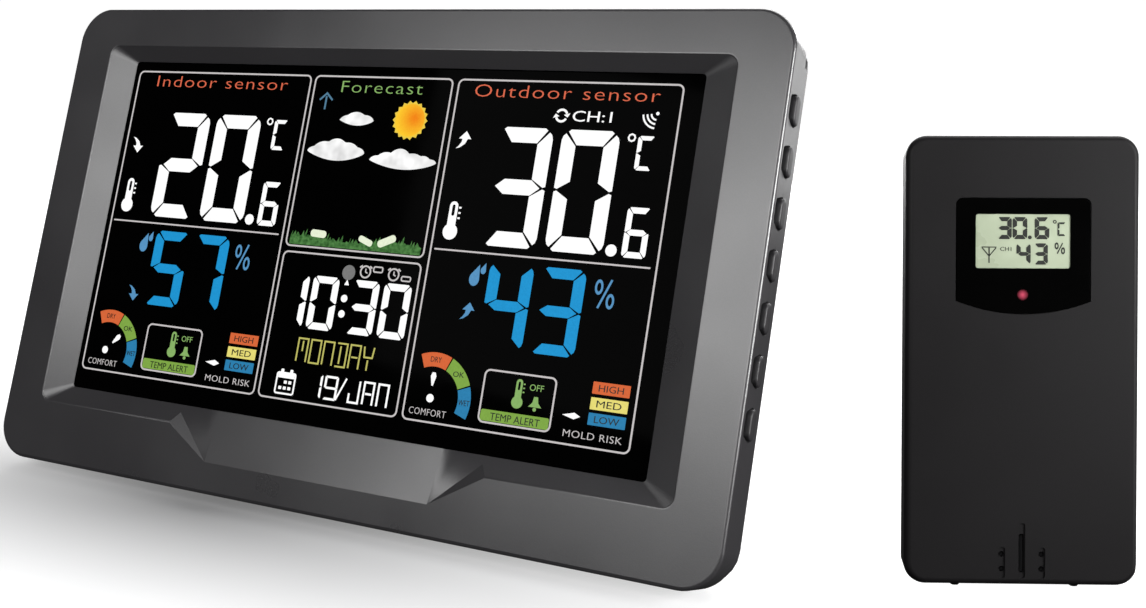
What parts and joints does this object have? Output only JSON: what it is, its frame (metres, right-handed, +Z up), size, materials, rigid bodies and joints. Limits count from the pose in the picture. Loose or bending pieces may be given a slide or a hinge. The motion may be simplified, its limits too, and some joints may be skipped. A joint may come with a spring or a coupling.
{
  "type": "home weather station",
  "caption": "Desktop weather station: a leaning console with a wide colour display and side keys, and a small wireless outdoor sensor, each on its own fold-out stand.",
  "frame": {"origin": "middle of the set's footprint, on the table plane", "axes": "+Z up, the console faces -Y, +X to the right of someone looking at its display"},
  "size_m": [0.2874, 0.0846, 0.1241],
  "materials": {
    "housing": "fine satin moulded plastic, anthracite grey",
    "buttons": "satin moulded plastic, the housing's grey",
    "sensor_housing": "fine satin moulded plastic, near-black charcoal",
    "window_lens": "clear acrylic lens over a black display",
    "sensor_lens": "polished black acrylic with a clear window",
    "display_panel": "black display glass with lit coloured figures",
    "light_guide": "milky light guide",
    "inner_frame": "white moulded plastic",
    "circuit_board": "green solder mask",
    "plated_steel": "nickel-plated strip",
    "screw_steel": "zinc-plated screw",
    "shield_can": "tinned shield can",
    "battery_wrap": "plain plastic wrap over a steel can",
    "foot_rubber": "soft black rubber",
    "black_component": "black moulded plastic",
    "antenna_core": "dark ferrite rod",
    "sensor_display": "pale green-grey reflective display",
    "indicator_led": "red moulded lens"
  },
  "bodies": {
    "console": {"front_bezel": "housing", "display_window": "window_lens", "lcd_panel": "display_panel", "light_guide": "light_guide", "lcd_holder": "inner_frame", "main_board": "circuit_board", "key_board": "circuit_board", "rear_cover": "housing", "battery_1": "battery_wrap", "battery_2": "battery_wrap", "battery_3": "battery_wrap", "battery_contact_left": "plated_steel", "battery_contact_right": "plated_steel", "rubber_foot_left": "foot_rubber", "rubber_foot_right": "foot_rubber", "dc_jack": "black_component", "piezo_buzzer": "black_component", "radio_module": "shield_can", "clock_antenna": "antenna_core", "room_sensor": "inner_frame", "cover_screw_1": "screw_steel", "cover_screw_2": "screw_steel", "cover_screw_3": "screw_steel", "cover_screw_4": "screw_steel"},
    "side_button_1_cap": {"side_button_1": "buttons"},
    "side_button_2_cap": {"side_button_2": "buttons"},
    "side_button_3_cap": {"side_button_3": "buttons"},
    "side_button_4_cap": {"side_button_4": "buttons"},
    "side_button_5_cap": {"side_button_5": "buttons"},
    "side_button_6_cap": {"side_button_6": "buttons"},
    "side_button_7_cap": {"side_button_7": "buttons"},
    "battery_door_body": {"battery_door": "housing"},
    "table_stand_body": {"table_stand": "housing"},
    "outdoor_sensor": {"sensor_front_shell": "sensor_housing", "sensor_window": "sensor_lens", "sensor_lcd": "sensor_display", "sensor_board": "circuit_board", "sensor_led": "indicator_led", "sensor_rear_shell": "sensor_housing", "sensor_battery_1": "battery_wrap", "sensor_battery_2": "battery_wrap", "sensor_contact_bottom": "plated_steel", "sensor_contact_top": "plated_steel", "outdoor_probe": "inner_frame", "sensor_screw_1": "screw_steel", "sensor_screw_2": "screw_steel", "sensor_screw_3": "screw_steel", "sensor_screw_4": "screw_steel"},
    "sensor_battery_door_body": {"sensor_battery_door": "sensor_housing"},
    "channel_switch_body": {"channel_switch": "black_component"},
    "transmit_button_body": {"transmit_button": "black_component"},
    "sensor_stand_body": {"sensor_stand": "sensor_housing"}
  },
  "joints": [
    {"name": "side_button_1_press", "type": "slide", "parent": "console", "child": "side_button_1_cap", "axis": [-1, 0, 0], "range_m": [0, 0.0008], "stiffness_N_per_m": 400, "springref_m": -0.001},
    {"name": "side_button_2_press", "type": "slide", "parent": "console", "child": "side_button_2_cap", "axis": [-1, 0, 0], "range_m": [0, 0.0008], "stiffness_N_per_m": 400, "springref_m": -0.001},
    {"name": "side_button_3_press", "type": "slide", "parent": "console", "child": "side_button_3_cap", "axis": [-1, 0, 0], "range_m": [0, 0.0008], "stiffness_N_per_m": 400, "springref_m": -0.001},
    {"name": "side_button_4_press", "type": "slide", "parent": "console", "child": "side_button_4_cap", "axis": [-1, 0, 0], "range_m": [0, 0.0008], "stiffness_N_per_m": 400, "springref_m": -0.001},
    {"name": "side_button_5_press", "type": "slide", "parent": "console", "child": "side_button_5_cap", "axis": [-1, 0, 0], "range_m": [0, 0.0008], "stiffness_N_per_m": 400, "springref_m": -0.001},
    {"name": "side_button_6_press", "type": "slide", "parent": "console", "child": "side_button_6_cap", "axis": [-1, 0, 0], "range_m": [0, 0.0008], "stiffness_N_per_m": 400, "springref_m": -0.001},
    {"name": "side_button_7_press", "type": "slide", "parent": "console", "child": "side_button_7_cap", "axis": [-1, 0, 0], "range_m": [0, 0.0008], "stiffness_N_per_m": 400, "springref_m": -0.001},
    {"name": "table_stand_fold", "type": "hinge", "parent": "console", "child": "table_stand_body", "pos_m": [-0.03866, -0.0036, 0.03921], "axis": [1, 0, 0], "range_deg": [-45, 0]},
    {"name": "battery_door_slide", "type": "slide", "parent": "console", "child": "battery_door_body", "axis": [0, 0.36, 0.933], "range_m": [0, 0.059]},
    {"name": "outdoor_sensor_placing", "type": "slide", "parent": "console", "child": "outdoor_sensor", "axis": [1, 0, 0], "range_m": [0, 0.15]},
    {"name": "sensor_stand_fold", "type": "hinge", "parent": "outdoor_sensor", "child": "sensor_stand_body", "pos_m": [0.11123, 0.02137, 0.03314], "axis": [0.9135, 0.4067, 0], "range_deg": [-35, 0]},
    {"name": "sensor_battery_door_slide", "type": "slide", "parent": "outdoor_sensor", "child": "sensor_battery_door_body", "axis": [-0.0915, 0.2055, 0.9744], "range_m": [0, 0.056]},
    {"name": "channel_switch_slide", "type": "slide", "parent": "outdoor_sensor", "child": "channel_switch_body", "axis": [-0.0915, 0.2055, 0.9744], "range_m": [0, 0.004]},
    {"name": "transmit_button_press", "type": "slide", "parent": "outdoor_sensor", "child": "transmit_button_body", "axis": [0.3963, -0.8901, 0.225], "range_m": [0, 0.0008], "stiffness_N_per_m": 300, "springref_m": -0.001}
  ]
}
